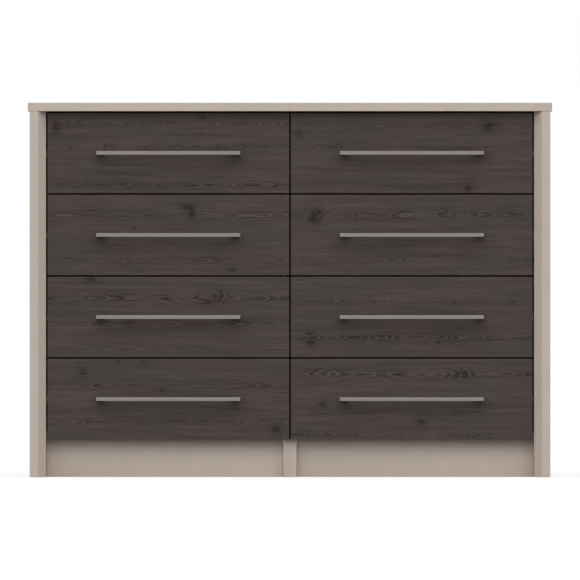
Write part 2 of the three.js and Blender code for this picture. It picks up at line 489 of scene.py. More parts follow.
@dataclass(frozen=True)
class WrapFoil:
    """Pale foil on the drawer boxes, with a fine linen press."""

    name: str = "wrap_foil"
    pale: Colour = srgb(199, 195, 187)
    deep: Colour = srgb(184, 180, 171)
    thread: float = 1.4 * MM
    relief: float = 0.03 * MM

    def material(self) -> bpy.types.Material:
        """Build the material."""
        shader = Shader.material(self.name)
        cloud = shader.noise(shader.place, (60 * MM,) * 3, 1.3)
        waver = shader.noise(shader.place, (9 * MM,) * 3, 4.7, 1.0)
        weave = waver * 0
        for run in shader.parts(shader.place):
            weave = weave + (run + waver * (0.5 * MM)).zigzag(self.thread / 2) / self.thread
        colour = shader.mix(0.1 + weave * 0.45 + cloud * 1.2, self.deep, self.pale)
        return shader.finish(colour, 0.5 + waver * 0.2, weave, self.relief, {"Specular IOR Level": 0.35})


@dataclass(frozen=True)
class Hardboard:
    """Thin brown board of pressed fibres, with the print of the press screen on its rough face."""

    name: str = "hardboard"
    pale: Colour = srgb(158, 130, 98)
    deep: Colour = srgb(112, 86, 60)
    screen: float = 2.2 * MM
    relief: float = 0.12 * MM

    def material(self) -> bpy.types.Material:
        """Build the material."""
        shader = Shader.material(self.name)
        cloud = shader.noise(shader.place, (45 * MM,) * 3, 2.2, 3.0)
        fibre = shader.noise(shader.place, (2.6 * MM, 2.6 * MM, 0.8 * MM), 9.4, 3.0)
        shred = shader.noise(shader.place, (0.8 * MM, 2.6 * MM, 2.6 * MM), 5.1, 3.0)
        grid = cloud * 0
        for run in shader.parts(shader.place):
            grid = grid + run.zigzag(self.screen / 2) / self.screen
        tone = 0.4 + cloud * 0.4 + fibre * 0.9 + shred * 0.9 + grid * 0.14
        colour = shader.mix(tone.within(0, 1), self.deep, self.pale)
        return shader.finish(colour, 0.78 - fibre * 0.2, grid * 0.6 + fibre, self.relief)


@dataclass(frozen=True)
class RunnerPlastic:
    """Off-white moulded plastic, faintly clouded, with a satin skin and rubbed along its length."""

    name: str = "runner_plastic"
    pale: Colour = srgb(229, 226, 219)
    deep: Colour = srgb(214, 210, 200)
    relief: float = 0.04 * MM

    def material(self) -> bpy.types.Material:
        """Build the material."""
        shader = Shader.material(self.name)
        cloud = shader.noise(shader.place, (14 * MM,) * 3, 6.5)
        rub = shader.noise(shader.place, (1 * MM, 55 * MM, 1 * MM), 8.8, 2.0)
        colour = shader.mix((0.6 + cloud + rub * 0.7).within(0, 1), self.deep, self.pale)
        return shader.finish(colour, 0.4 + rub * 0.3, rub + cloud, self.relief)


@dataclass(frozen=True)
class BrushedMetal:
    """Satin metal, brushed along X."""

    name: str
    pale: Colour
    deep: Colour
    roughness: float
    metallic: float = 1.0
    streak: float = 38 * MM
    hair: float = 0.22 * MM
    relief: float = 0.012 * MM

    def material(self) -> bpy.types.Material:
        """Build the material."""
        shader = Shader.material(self.name)
        brush = shader.noise(shader.place, (self.streak, self.hair, self.hair), 2.7, 3.0)
        cloud = shader.noise(shader.place, (70 * MM,) * 3, 8.3, 1.0)
        colour = shader.mix((0.5 + brush * 1.6 + cloud * 0.5).within(0, 1), self.deep, self.pale)
        rough = self.roughness + brush * 0.35 + cloud * 0.1
        return shader.finish(colour, rough, brush, self.relief, {"Metallic": self.metallic})


@dataclass(frozen=True)
class PaintedShadeFelt:
    """Near-black felt for the painted-shade strip, a dark sheet in the slot between the fronts where there
    is only shade: short fibres that lie all ways.
    """

    name: str = "black_felt"
    # Near-black colours that paint the shade of the slot between the fronts.
    pale: Colour = srgb(24, 23, 22)
    deep: Colour = srgb(9, 8, 8)
    relief: float = 0.15 * MM

    def material(self) -> bpy.types.Material:
        """Build the material."""
        shader = Shader.material(self.name)
        upright = shader.noise(shader.place, (0.3 * MM, 0.3 * MM, 2.4 * MM), 4.4, 3.0)
        lying = shader.noise(shader.place, (2.4 * MM, 0.3 * MM, 0.3 * MM), 7.2, 3.0)
        fibre = upright + lying
        colour = shader.mix((0.45 + fibre * 1.4).within(0, 1), self.deep, self.pale)
        rough = 0.95 - fibre * 0.1
        return shader.finish(colour, rough, fibre, self.relief, {"Specular IOR Level": 0.1})


class Finishes:
    """The materials that several pieces share, each built once."""

    def __init__(self) -> None:
        """Build them."""
        self.stone = StoneFoil().material()
        self.wrap = WrapFoil().material()
        self.hardboard = Hardboard().material()
        self.plastic = RunnerPlastic().material()
        nickel = BrushedMetal("satin_nickel", srgb(139, 134, 130), srgb(122, 117, 113), 0.42, 0.6)
        self.satin = nickel.material()
        zinc = BrushedMetal("zinc", srgb(205, 203, 198), srgb(176, 173, 168), 0.3, streak=4 * MM)
        self.zinc = zinc.material()
        # Near-black felt that paints the shade in the slot between the fronts.
        self.felt = PaintedShadeFelt().material()


class Slot(Enum):
    """The record's material slots."""

    CARCASS = "carcass"
    FRONT = "drawer_front"
    BOX = "drawer_box"
    HARDBOARD = "hardboard"
    RUNNER = "runner"
    HANDLE = "handle"


def mesh_from(name: str, shape: bmesh.types.BMesh) -> bpy.types.Mesh:
    """Close a bmesh into a mesh.

    Args:
        name: The mesh's name.
        shape: The bmesh, which is freed.

    Returns:
        The mesh.
    """
    mesh = bpy.data.meshes.new(name)
    shape.to_mesh(mesh)
    shape.free()
    return mesh


def place_piece(
    mesh: bpy.types.Mesh,
    body: str,
    materials: Sequence[bpy.types.Material] = (),
    nodes: Sequence[str] = (),
) -> bpy.types.Object:
    """Put a finished mesh on its body.

    Args:
        mesh: The mesh, in place in the row frame. The piece takes its name.
        body: The body that it rides on.
        materials: Its materials, where the mesh has none yet.
        nodes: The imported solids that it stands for.

    Returns:
        The piece.
    """
    for material in materials:
        mesh.materials.append(material)
    piece = bpy.data.objects.new(mesh.name, mesh)
    bpy.context.scene.collection.objects.link(piece)
    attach(piece, body)
    if nodes:
        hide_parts(*nodes)
    log.info("%s rides on %s, %d faces", piece.name, body, len(mesh.polygons))
    return piece


def ease(piece: bpy.types.Object, width: float, steps: int = 2) -> None:
    """Round a piece's sharp edges.

    Args:
        piece: The piece.
        width: The width of the round.
        steps: The faces across it.
    """
    piece.data.shade_smooth()
    bevel = piece.modifiers.new("eased_edges", "BEVEL")
    bevel.width = width
    bevel.segments = steps
    bevel.limit_method = "ANGLE"
    bevel.angle_limit = math.radians(32)
    bevel.harden_normals = True


def copy_solid(node: str) -> bmesh.types.BMesh:
    """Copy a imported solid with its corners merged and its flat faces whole.

    Args:
        node: The solid's name.

    Returns:
        The copy.
    """
    shape = bmesh.new()
    shape.from_mesh(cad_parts[node].data)
    bmesh.ops.remove_doubles(shape, verts=shape.verts, dist=0.01 * MM)
    bmesh.ops.dissolve_limit(
        shape, angle_limit=math.radians(0.5), verts=shape.verts, edges=shape.edges
    )
    return shape


def box_of(node: str) -> bmesh.types.BMesh:
    """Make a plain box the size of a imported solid, without the solid's flat arris.

    Args:
        node: The solid's name.

    Returns:
        The box.
    """
    low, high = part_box(node)
    shape = bmesh.new()
    bmesh.ops.create_cube(shape)
    middle = Matrix.Translation((low + high) / 2)
    bmesh.ops.transform(shape, verts=shape.verts, matrix=middle @ Matrix.Diagonal((*(high - low), 1)))
    return shape


def raise_outline(outline: Sequence[Point], bottom: float, top: float) -> bmesh.types.BMesh:
    """Raise an outline in X and Y along Z.

    Args:
        outline: Its corners in order.
        bottom: Its lowest height.
        top: Its highest height.

    Returns:
        The closed prism, with its faces outwards.
    """
    shape = bmesh.new()
    floor = shape.faces.new([shape.verts.new((x, y, bottom)) for x, y in outline])
    raised = bmesh.ops.extrude_face_region(shape, geom=[floor])
    tops = [item for item in raised["geom"] if isinstance(item, bmesh.types.BMVert)]
    bmesh.ops.translate(shape, verts=tops, vec=(0, 0, top - bottom))
    bmesh.ops.recalc_face_normals(shape, faces=shape.faces)
    return shape


def arc(centre: Point, radius: float, start: float, end: float, steps: int) -> list[Point]:
    """Lay points along an arc.

    Args:
        centre: Its middle.
        radius: Its radius.
        start: Its first angle from +X, in radians.
        end: Its last angle.
        steps: How many pieces it is in.

    Returns:
        The points from first to last.
    """
    points = []
    for step in range(steps + 1):
        angle = start + (end - start) * step / steps
        points.append((centre[0] + radius * math.cos(angle), centre[1] + radius * math.sin(angle)))
    return points


@dataclass(frozen=True)
class Board:
    """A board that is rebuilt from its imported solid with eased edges."""

    node: str
    body: str
    slot: Slot
    ease_width: float = 0.5 * MM
    ease_steps: int = 2
    from_box: bool = False

    def build(
        self,
        face: bpy.types.Material,
        lining: bpy.types.Material | None = None,
        lined: Vector | None = None,
    ) -> bpy.types.Object:
        """Build the board.

        Args:
            face: Its material.
            lining: Another material for the side that looks along lined.
            lined: The direction of that side.

        Returns:
            The piece.
        """
        shape = box_of(self.node) if self.from_box else copy_solid(self.node)
        if lining:
            for side in shape.faces:
                side.material_index = int(side.normal.dot(lined) > 0.9)
        mesh = mesh_from(f"{self.node}_board", shape)
        materials = [face, lining] if lining else [face]
        piece = place_piece(mesh, self.body, materials, [self.node])
        ease(piece, self.ease_width, self.ease_steps)
        return piece


class Spread(Enum):
    """How the places of a fastener are given."""

    SPOTS = "spots"
    PATH = "path"


class FastenerTree:
    """Geometry nodes that set a head on every spot, or at a pitch along a path."""

    INPUTS = (
        ("Head", "NodeSocketObject"),
        ("Pitch", "NodeSocketFloat"),
        ("Turn seed", "NodeSocketInt"),
        ("Finish", "NodeSocketMaterial"),
    )

    def __init__(self, spread: Spread) -> None:
        """Build the tree.

        Args:
            spread: Whether the places are spots or a path.
        """
        self.tree = bpy.data.node_groups.new(f"fasteners_on_{spread.value}", "GeometryNodeTree")
        self.tree.interface.new_socket("Places", in_out="INPUT", socket_type="NodeSocketGeometry")
        self.sockets = {
            name: self.tree.interface.new_socket(name, in_out="INPUT", socket_type=kind)
            for name, kind in self.INPUTS
        }
        self.tree.interface.new_socket("Fasteners", in_out="OUTPUT", socket_type="NodeSocketGeometry")
        given = self.tree.nodes.new("NodeGroupInput").outputs
        places = given["Places"]
        if spread is Spread.PATH:
            line = self.add("GeometryNodeMeshToCurve", {}, {"Mesh": places})
            spaced = self.add(
                "GeometryNodeResampleCurve",
                {"mode": "LENGTH"},
                {"Curve": line.outputs[0], "Length": given["Pitch"]},
            )
            points = self.add(
                "GeometryNodeCurveToPoints", {"mode": "EVALUATED"}, {0: spaced.outputs[0]}
            )
            places = points.outputs[0]
        facing = self.add(
            "GeometryNodeInputNamedAttribute", {"data_type": "FLOAT_VECTOR"}, {"Name": "facing"}
        )
        aligned = self.add(
            "FunctionNodeAlignRotationToVector", {"axis": "Z"}, {"Vector": facing.outputs["Attribute"]}
        )
        turn = self.add(
            "FunctionNodeRandomValue",
            {"data_type": "FLOAT"},
            {"Seed": given["Turn seed"]},
        )
        turn.inputs[3].default_value = math.tau
        about = self.add("FunctionNodeAxisAngleToRotation", {}, {"Angle": turn.outputs[1]})
        turned = self.add(
            "FunctionNodeRotateRotation",
            {"rotation_space": "LOCAL"},
            {0: aligned.outputs[0], 1: about.outputs[0]},
        )
        head = self.add("GeometryNodeObjectInfo", {}, {"Object": given["Head"]})
        set_out = self.add(
            "GeometryNodeInstanceOnPoints",
            {},
            {"Points": places, "Instance": head.outputs["Geometry"], "Rotation": turned.outputs[0]},
        )
        real = self.add("GeometryNodeRealizeInstances", {}, {0: set_out.outputs[0]})
        dressed = self.add(
            "GeometryNodeSetMaterial", {}, {"Geometry": real.outputs[0], "Material": given["Finish"]}
        )
        self.add("NodeGroupOutput", {}, {0: dressed.outputs[0]})

    def add(
        self,
        kind: str,
        settings: Mapping[str, object],
        values: Mapping[int | str, bpy.types.NodeSocket | str],
    ) -> bpy.types.Node:
        """Add a node to the tree.

        Args:
            kind: Its type.
            settings: Its own settings, set first.
            values: What its inputs are linked to, or a text that they hold.

        Returns:
            The node.
        """
        node = self.tree.nodes.new(kind)
        for key, setting in settings.items():
            setattr(node, key, setting)
        for key, value in values.items():
            if isinstance(value, str):
                node.inputs[key].default_value = value
            else:
                self.tree.links.new(value, node.inputs[key])
        return node

    def mesh(
        self, name: str, places: bpy.types.Mesh, inputs: Mapping[str, object]
    ) -> bpy.types.Mesh:
        """Run the tree and keep its result as a plain mesh.

        Args:
            name: The result's name.
            places: The spots or the path, with the way each head faces as the attribute "facing".
            inputs: The tree's named inputs.

        Returns:
            The mesh.
        """
        carrier = bpy.data.objects.new(f"{name}_places", places)
        bpy.context.scene.collection.objects.link(carrier)
        modifier = carrier.modifiers.new("fasteners", "NODES")
        modifier.node_group = self.tree
        for key, value in inputs.items():
            modifier[self.sockets[key].identifier] = value
        evaluated = carrier.evaluated_get(bpy.context.evaluated_depsgraph_get())
        result = bpy.data.meshes.new_from_object(evaluated)
        result.name = name
        bpy.data.objects.remove(carrier)
        return result


@dataclass(frozen=True)
class Spot:
    """Where a fastener sits, and the way its head faces."""

    place: Vector
    facing: Vector


def spots_mesh(spots: Sequence[Spot], closed: bool = False) -> bpy.types.Mesh:
    """Make the mesh that carries a fastener's places.

    Args:
        spots: The places.
        closed: Whether they are the corners of a closed path.

    Returns:
        The mesh, with the attribute "facing".
    """
    edges = []
    if closed:
        edges = [(number, (number + 1) % len(spots)) for number in range(len(spots))]
    mesh = bpy.data.meshes.new("places")
    mesh.from_pydata([spot.place for spot in spots], edges, [])
    facing = mesh.attributes.new("facing", "FLOAT_VECTOR", "POINT")
    facing.data.foreach_set("vector", [value for spot in spots for value in spot.facing])
    return mesh


@dataclass(frozen=True)
class Head:
    """The part of a fastener that shows: a turned disc or dome, with a cross in it where it is a screw."""

    name: str
    radius: float
    height: float
    dome: float
    crossed: bool = True
    sides: int = 20

    def build(self) -> bpy.types.Object:
        """Build the head, sunk a little into what it holds, with its axis along +Z.

        Returns:
            An object that is not part of the scene.
        """
        profile = [(self.radius, -0.4 * self.height), (self.radius, self.height * (1 - self.dome))]
        for step in (1, 2, 3):
            angle = math.pi / 2 * step / 4
            profile.append(
                (
                    self.radius * math.cos(angle),
                    self.height * (1 - self.dome) + self.height * self.dome * math.sin(angle),
                )
            )
        shape = bmesh.new()
        rings = []
        for radius, height in profile:
            rings.append(
                [
                    shape.verts.new(
                        (
                            radius * math.cos(math.tau * side / self.sides),
                            radius * math.sin(math.tau * side / self.sides),
                            height,
                        )
                    )
                    for side in range(self.sides)
                ]
            )
        for low, high in zip(rings, rings[1:]):
            for side in range(self.sides):
                after = (side + 1) % self.sides
                shape.faces.new((low[side], low[after], high[after], high[side]))
        shape.faces.new(list(reversed(rings[0])))
        tip = shape.verts.new((0, 0, self.height))
        for side in range(self.sides):
            shape.faces.new((rings[-1][side], rings[-1][(side + 1) % self.sides], tip))
        mesh = mesh_from(self.name, shape)
        mesh.shade_smooth()
        mesh.set_sharp_from_angle(angle=math.radians(40))
        head = bpy.data.objects.new(self.name, mesh)
        if self.crossed:
            self.cut_cross(head)
        return head

    def cut_cross(self, head: bpy.types.Object) -> None:
        """Cut the driver's cross into the head.

        Args:
            head: The plain head, whose mesh is exchanged.
        """
        shape = bmesh.new()
        arm = self.radius * 0.62
        half = self.radius * 0.12
        depth = self.height * 0.62
        outline = [
            (arm, -half), (arm, half), (half, half), (half, arm), (-half, arm), (-half, half),
            (-arm, half), (-arm, -half), (-half, -half), (-half, -arm), (half, -arm), (half, -half),
        ]
        low = [shape.verts.new((x * 0.7, y * 0.9, self.height - depth)) for x, y in outline]
        high = [shape.verts.new((x, y, self.height * 1.3)) for x, y in outline]
        for number in range(len(outline)):
            after = (number + 1) % len(outline)
            shape.faces.new((low[number], low[after], high[after], high[number]))
        shape.faces.new(list(reversed(low)))
        shape.faces.new(high)
        cutter = bpy.data.objects.new("cross", mesh_from("cross", shape))
        for item in (head, cutter):
            bpy.context.scene.collection.objects.link(item)
        boolean = head.modifiers.new("cross", "BOOLEAN")
        boolean.operation = "DIFFERENCE"
        boolean.object = cutter
        evaluated = head.evaluated_get(bpy.context.evaluated_depsgraph_get())
        cut = bpy.data.meshes.new_from_object(evaluated)
        head.modifiers.clear()
        head.data = cut
        bpy.context.scene.collection.objects.unlink(head)
        bpy.data.objects.remove(cutter)


class Fasteners:
    """The kinds of fastener, and the trees that set them out."""

    def __init__(self) -> None:
        """Build the heads and the trees."""
        self.pan = Head("pan_head", 3.6 * MM, 2.2 * MM, 0.7).build()
        self.flush = Head("flush_head", 3.3 * MM, 0.5 * MM, 0.5).build()
        self.pin = Head("pin_head", 2.3 * MM, 0.7 * MM, 0.8, crossed=False, sides=12).build()
        self.trees = {spread: FastenerTree(spread) for spread in Spread}

    def place(
        self,
        name: str,
        body: str,
        head: bpy.types.Object,
        spots: Sequence[Spot],
        finish: bpy.types.Material,
        pitch: float = 0.0,
        seed: int = 1,
    ) -> bpy.types.Object:
        """Set one kind of fastener out on one body.

        Args:
            name: The piece's name.
            body: The body that it rides on.
            head: The head.
            spots: Its places, or the corners of a closed path where a pitch is given.
            finish: Its material.
            pitch: The distance along the path from one to the next, or 0 for spots.
            seed: Sets how each head is turned.

        Returns:
            The piece.
        """
        spread = Spread.PATH if pitch else Spread.SPOTS
        inputs = {"Head": head, "Pitch": pitch, "Turn seed": seed, "Finish": finish}
        mesh = self.trees[spread].mesh(name, spots_mesh(spots, bool(pitch)), inputs)
        return place_piece(mesh, body)


@dataclass(frozen=True)
class Side:
    """One column of the chest: its name, and the way it lies from the middle."""

    name: str
    sign: int

    def mirrored(self, outline: Sequence[Point]) -> list[Point]:
        """Lay an outline that is drawn for the right on this side."""
        return [(self.sign * x, y) for x, y in outline]


SIDES = (Side("left", -1), Side("right", 1))


@dataclass
class Carcass:
    """The frame of the chest: top, sides, uprights, plinths, bases and backs."""

    finishes: Finishes
    fasteners: Fasteners
    arris_radius: float = 5 * MM
    corner_radius: float = 0.7 * MM
    arc_steps: int = 12
    hairline: float = 0.15 * MM
    pin_inset: float = 9 * MM
    pin_pitch: float = 96 * MM
    strip_width: float = 22 * MM
    strip_gauge: float = 0.8 * MM
    strip_sink: float = 0.05 * MM

    def build(self) -> None:
        """Build every piece of the carcass."""
        stone = self.finishes.stone
        # The black strip is painted shade for the slot between the two columns of fronts.
        self.build_shade_strip()
        Board("top_panel", "root", Slot.CARCASS, 0.4 * MM, 3, from_box=True).build(stone)
        Board("centre_upright", "root", Slot.CARCASS, 0.8 * MM, 3).build(stone)
        for side in SIDES:
            self.build_cheek(side)
            Board(f"base_panel_{side.name}", "root", Slot.CARCASS).build(stone)
            Board(f"plinth_{side.name}", "root", Slot.CARCASS, 0.7 * MM, 3).build(stone)
            self.build_back(side)

    def build_shade_strip(self) -> None:
        """Lay a black felt strip on the centre upright where the fronts of both columns meet it: painted
        shade, a dark sheet that stands for the shadow in the slot between them.
        """
        low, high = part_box("centre_upright")
        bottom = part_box("drawer_left_4_front")[0].z
        half = self.strip_width / 2
        glued = low.y + self.strip_sink
        free = low.y - self.strip_gauge
        outline = [(-half, free), (half, free), (half, glued), (-half, glued)]
        shape = raise_outline(outline, bottom, high.z)
        # Painted shade: the black strip darkens the slot between the fronts, where the pale upright would
        # show.
        piece = place_piece(mesh_from("closing_strip", shape), "root", [self.finishes.felt])
        ease(piece, 0.3 * MM, 2)

    def build_cheek(self, side: Side) -> None:
        """Build a side panel and the inner upright beside it, which share one rounded arris at the front.

        Args:
            side: The side of the chest.
        """
        panel_low, panel_high = self.right_box(f"side_panel_{side.name}")
        upright_low, upright_high = self.right_box(f"inner_upright_{side.name}")
        front = panel_low.y
        seam = (panel_low.x + upright_high.x) / 2
        bevel_depth = self.bevel_depth(f"inner_upright_{side.name}", upright_low.x)
        turn = math.atan2(bevel_depth, upright_high.x - upright_low.x)
        reach = self.arris_radius * math.tan(turn / 2)
        middle = (seam + reach, front + self.arris_radius)
        facing = -math.pi / 2
        at_seam = facing - math.asin(reach / self.arris_radius)
        outside = (panel_high.x - self.corner_radius, front + self.corner_radius)
        panel = [
            (seam, panel_high.y),
            *arc(middle, self.arris_radius, at_seam, facing, self.arc_steps // 2),
            *arc(outside, self.corner_radius, facing, 0, 4),
            (panel_high.x, panel_high.y),
        ]
        upright = [
            *arc(middle, self.arris_radius, facing - turn, at_seam, self.arc_steps // 2),
            (seam, upright_high.y),
            (upright_low.x, upright_high.y),
            (upright_low.x, front + bevel_depth),
        ]
        for name, outline, top in (
            (f"side_panel_{side.name}", panel, panel_high.z),
            (f"inner_upright_{side.name}", upright, upright_high.z),
        ):
            shape = raise_outline(side.mirrored(outline), panel_low.z, top)
            mesh = mesh_from(f"{name}_board", shape)
            piece = place_piece(mesh, "root", [self.finishes.stone], [name])
            ease(piece, self.hairline, 1)

    def right_box(self, node: str) -> tuple[Vector, Vector]:
        """Give a solid's box as if it were on the right of the chest.

        Args:
            node: The solid's name.

        Returns:
            Its lowest and highest corner.
        """
        low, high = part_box(node)
        near, far = sorted((abs(low.x), abs(high.x)))
        return Vector((near, low.y, low.z)), Vector((far, high.y, high.z))

    def bevel_depth(self, node: str, inner: float) -> float:
        """Measure how far back the bevel of an inner upright runs.

        Args:
            node: The upright's name.
            inner: Its inner face's distance from the middle of the chest.

        Returns:
            The depth from its front edge to where the bevel meets the inner face.
        """
        corners = [vertex.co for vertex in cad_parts[node].data.vertices]
        front = min(corner.y for corner in corners)
        return min(corner.y for corner in corners if abs(abs(corner.x) - inner) < 0.1 * MM) - front

    def build_back(self, side: Side) -> None:
        """Build a back panel, foiled inside and bare outside, and the pins round its edge.

        Args:
            side: The side of the chest.
        """
        node = f"back_panel_{side.name}"
        inside = Vector((0, -1, 0))
        Board(node, "root", Slot.HARDBOARD, 0.2 * MM, 1).build(
            self.finishes.hardboard, self.finishes.stone, inside
        )
        low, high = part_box(node)
        inset = self.pin_inset
        corners = (
            (low.x + inset, low.z + inset),
            (high.x - inset, low.z + inset),
            (high.x - inset, high.z - inset),
            (low.x + inset, high.z - inset),
        )
        spots = [Spot(Vector((x, high.y, z)), -inside) for x, z in corners]
        self.fasteners.place(
            f"{node}_pins", "root", self.fasteners.pin, spots, self.finishes.zinc, self.pin_pitch
        )


@dataclass
class Runners:
    """The strips that carry the drawers, with three screws in each."""

    finishes: Finishes
    fasteners: Fasteners
    first_screw: float = 24 * MM
    last_screw: float = 30 * MM

    def build(self, rows: Sequence[int]) -> None:
        """Build the runners of both columns.

        Args:
            rows: The numbers of the rows.
        """
        spots = []
        for side in SIDES:
            for row in rows:
                for edge in ("inner", "outer"):
                    node = f"runner_{side.name}_{row}_{edge}"
                    Board(node, "root", Slot.RUNNER, 0.9 * MM, 3).build(self.finishes.plastic)
                    spots.extend(self.screws(node, side.sign if edge == "inner" else -side.sign))
        self.fasteners.place(
            "runner_screws", "root", self.fasteners.flush, spots, self.finishes.zinc, seed=5
        )

    def screws(self, node: str, way: int) -> list[Spot]:
        """Place a runner's screws.

        Args:
            node: The runner's name.
            way: The way its free face looks along X.

        Returns:
            The spots.
        """
        low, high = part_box(node)
        face = high.x if way > 0 else low.x
        middle = (low.z + high.z) / 2
        first = low.y + self.first_screw
        last = high.y - self.last_screw
        return [
            Spot(Vector((face, place, middle)), Vector((way, 0, 0)))
            for place in (first, (first + last) / 2, last)
        ]


@dataclass
class BarHandle:
    """A flat bar whose ends turn back to the front as two legs, with a round inside each turn."""

    finishes: Finishes
    leg_width: float = 20 * MM
    bar_thickness: float = 9 * MM
    outer_radius: float = 1.5 * MM
    inner_radius: float = 7 * MM
    edge_round: float = 0.6 * MM
    arc_steps: int = 10

    def build(self, drawer: str, face: float) -> None:
        """Build the handle of one drawer.

        Args:
            drawer: The drawer's body.
            face: Where the drawer's front face lies along Y.
        """
        node = f"{drawer}_handle"
        low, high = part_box(node)
        inner_left = low.x + self.leg_width
        inner_right = high.x - self.leg_width
        rear = low.y + self.bar_thickness
        outer = self.outer_radius
        inner = self.inner_radius
        half_turn = math.pi
        quarter = math.pi / 2
        outline = [
            (low.x, face),
            *arc((low.x + outer, low.y + outer), outer, -half_turn, -quarter, 4),
            *arc((high.x - outer, low.y + outer), outer, -quarter, 0, 4),
            (high.x, face),
            (inner_right, face),
            *arc((inner_right - inner, rear + inner), inner, 0, -quarter, self.arc_steps),
            *arc((inner_left + inner, rear + inner), inner, -quarter, -half_turn, self.arc_steps),
            (inner_left, face),
        ]
        mesh = mesh_from(f"{node}_bar", raise_outline(outline, low.z, high.z))
        piece = place_piece(mesh, drawer, [self.finishes.satin], [node])
        ease(piece, self.edge_round, 3)

    def screws(self, drawer: str, inside: float) -> list[Spot]:
        """Place the two screws that hold the legs, on the inside of the front.

        Args:
            drawer: The drawer's body.
            inside: Where the front's inner face lies along Y.

        Returns:
            The spots.
        """
        low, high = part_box(f"{drawer}_handle")
        level = (low.z + high.z) / 2
        centres = (low.x + self.leg_width / 2, high.x - self.leg_width / 2)
        return [Spot(Vector((x, inside, level)), Vector((0, 1, 0))) for x in centres]


@dataclass
class Drawer:
    """One drawer: front, folded box, bottom, handle and the small parts that hold them together."""

    side: Side
    row: int
    foil: PineFoil
    finishes: Finishes
    fasteners: Fasteners
    wrap_thickness: float = 12 * MM
    bracket_leg: float = 17 * MM
    bracket_height: float = 14 * MM
    bracket_gauge: float = 1.2 * MM
    bracket_shares: tuple[float, ...] = (0.36, 0.82)
    name: str = field(init=False)

    def __post_init__(self) -> None:
        """Name the drawer's body."""
        self.name = f"drawer_{self.side.name}_{self.row}"

    def build(self, handle: BarHandle) -> None:
        """Build the drawer.

        Args:
            handle: The handle that every front carries.
        """
        name = self.name
        low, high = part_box(f"{name}_front")
        foil = self.foil.material(low, high)
        Board(f"{name}_front", name, Slot.FRONT, 0.9 * MM, 4, from_box=True).build(foil)
        Board(f"{name}_box", name, Slot.BOX, 0.5 * MM, 2).build(self.finishes.wrap)
        upwards = Vector((0, 0, 1))
        Board(f"{name}_bottom", name, Slot.HARDBOARD, 0.2 * MM, 1).build(
            self.finishes.hardboard, self.finishes.wrap, upwards
        )
        handle.build(name, low.y)
        screws = handle.screws(name, high.y)
        self.build_brackets(high.y, screws)
        self.fasteners.place(
            f"{name}_screws", name, self.fasteners.pan, screws, self.finishes.zinc, seed=self.row
        )

    def build_brackets(self, inside: float, screws: list[Spot]) -> None:
        """Build the corner brackets that hold the box on the front.

        Args:
            inside: Where the front's inner face lies along Y.
            screws: The spots of the drawer's screws, which get the brackets' own.
        """
        low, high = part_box(f"{self.name}_box")
        leg = self.bracket_leg
        gauge = self.bracket_gauge
        shape = bmesh.new()
        for wall, way in ((low.x + self.wrap_thickness, 1), (high.x - self.wrap_thickness, -1)):
            for share in self.bracket_shares:
                level = low.z + (high.z - low.z) * share
                outline = [
                    (wall, inside),
                    (wall + way * leg, inside),
                    (wall + way * leg, inside + gauge),
                    (wall + way * gauge, inside + gauge),
                    (wall + way * gauge, inside + leg),
                    (wall, inside + leg),
                ]
                half = self.bracket_height / 2
                single = mesh_from("bracket", raise_outline(outline, level - half, level + half))
                shape.from_mesh(single)
                bpy.data.meshes.remove(single)
                screws.append(
                    Spot(Vector((wall + way * leg * 0.62, inside + gauge, level)), Vector((0, 1, 0)))
                )
                screws.append(
                    Spot(Vector((wall + way * gauge, inside + leg * 0.62, level)), Vector((way, 0, 0)))
                )
        mesh = mesh_from(f"{self.name}_brackets", shape)
        piece = place_piece(mesh, self.name, [self.finishes.zinc])
        ease(piece, 0.4 * MM, 2)


